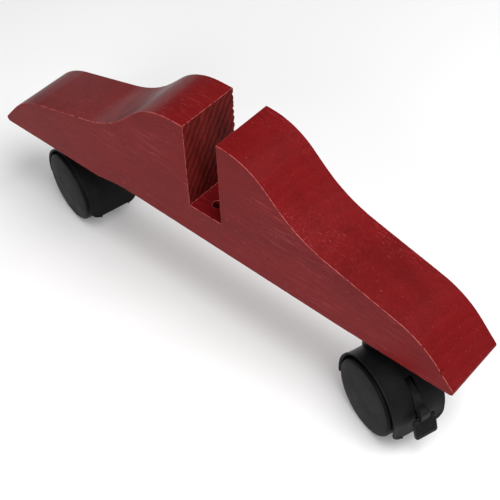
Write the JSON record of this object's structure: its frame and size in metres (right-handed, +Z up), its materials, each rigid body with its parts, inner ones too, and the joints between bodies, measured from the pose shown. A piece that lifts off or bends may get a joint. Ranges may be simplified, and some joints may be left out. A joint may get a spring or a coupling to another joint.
{
  "type": "rolling panel foot",
  "caption": "Shaped wooden foot with an upright slot that holds a panel's edge, standing on hooded twin-wheel swivel casters, one with a brake pedal.",
  "frame": {"origin": "middle of the slot's floor, where the panel's lower edge rests", "axes": "+X along the foot towards the braked caster, +Z up out of the slot's floor, +Y across the foot's thickness"},
  "size_m": [0.361, 0.0636, 0.152],
  "materials": {
    "painted_wood": "red stain under satin varnish, worn at the edges",
    "hood_plastic": "black moulded nylon, satin",
    "wheel_plastic": "black moulded nylon, fine grain",
    "nylon": "natural nylon",
    "zinc_steel": "bright zinc plate",
    "spring_steel": "blackened spring steel"
  },
  "bodies": {
    "foot": {"foot_block": "painted_wood", "right_insert_nut": "zinc_steel", "right_stem": "zinc_steel", "right_washer": "nylon", "right_retaining_ring": "spring_steel", "left_insert_nut": "zinc_steel", "left_stem": "zinc_steel", "left_washer": "nylon", "left_retaining_ring": "spring_steel"},
    "right_caster": {"right_hood": "hood_plastic", "right_axle": "zinc_steel", "right_pedal_pin": "zinc_steel"},
    "right_front_wheel": {"right_front_wheel": "wheel_plastic"},
    "right_back_wheel": {"right_back_wheel": "wheel_plastic"},
    "right_pedal": {"right_brake_pedal": "hood_plastic", "right_brake_bar": "zinc_steel"},
    "left_caster": {"left_hood": "hood_plastic", "left_axle": "zinc_steel"},
    "left_front_wheel": {"left_front_wheel": "wheel_plastic"},
    "left_back_wheel": {"left_back_wheel": "wheel_plastic"}
  },
  "joints": [
    {"name": "right_swivel", "type": "hinge", "parent": "foot", "child": "right_caster", "pos_m": [0.115, -0.0055, -0.026], "axis": [0, 0, 1], "continuous": true},
    {"name": "left_swivel", "type": "hinge", "parent": "foot", "child": "left_caster", "pos_m": [-0.15, 0.0055, -0.026], "axis": [0, 0, 1], "continuous": true},
    {"name": "right_front_wheel_spin", "type": "hinge", "parent": "right_caster", "child": "right_front_wheel", "pos_m": [0.13202, -0.01136, -0.065], "axis": [0.3256, 0.9455, 0], "continuous": true},
    {"name": "right_back_wheel_spin", "type": "hinge", "parent": "right_caster", "child": "right_back_wheel", "pos_m": [0.13202, -0.01136, -0.065], "axis": [0.3256, 0.9455, 0], "continuous": true},
    {"name": "left_front_wheel_spin", "type": "hinge", "parent": "left_caster", "child": "left_front_wheel", "pos_m": [-0.13246, 0.00145, -0.065], "axis": [0.225, 0.9744, 0], "continuous": true},
    {"name": "left_back_wheel_spin", "type": "hinge", "parent": "left_caster", "child": "left_back_wheel", "pos_m": [-0.13246, 0.00145, -0.065], "axis": [0.225, 0.9744, 0], "continuous": true},
    {"name": "brake_pedal_press", "type": "hinge", "parent": "right_caster", "child": "right_pedal", "pos_m": [0.1358, -0.01266, -0.049], "axis": [0.3256, 0.9455, 0], "range_deg": [0, 8]}
  ]
}
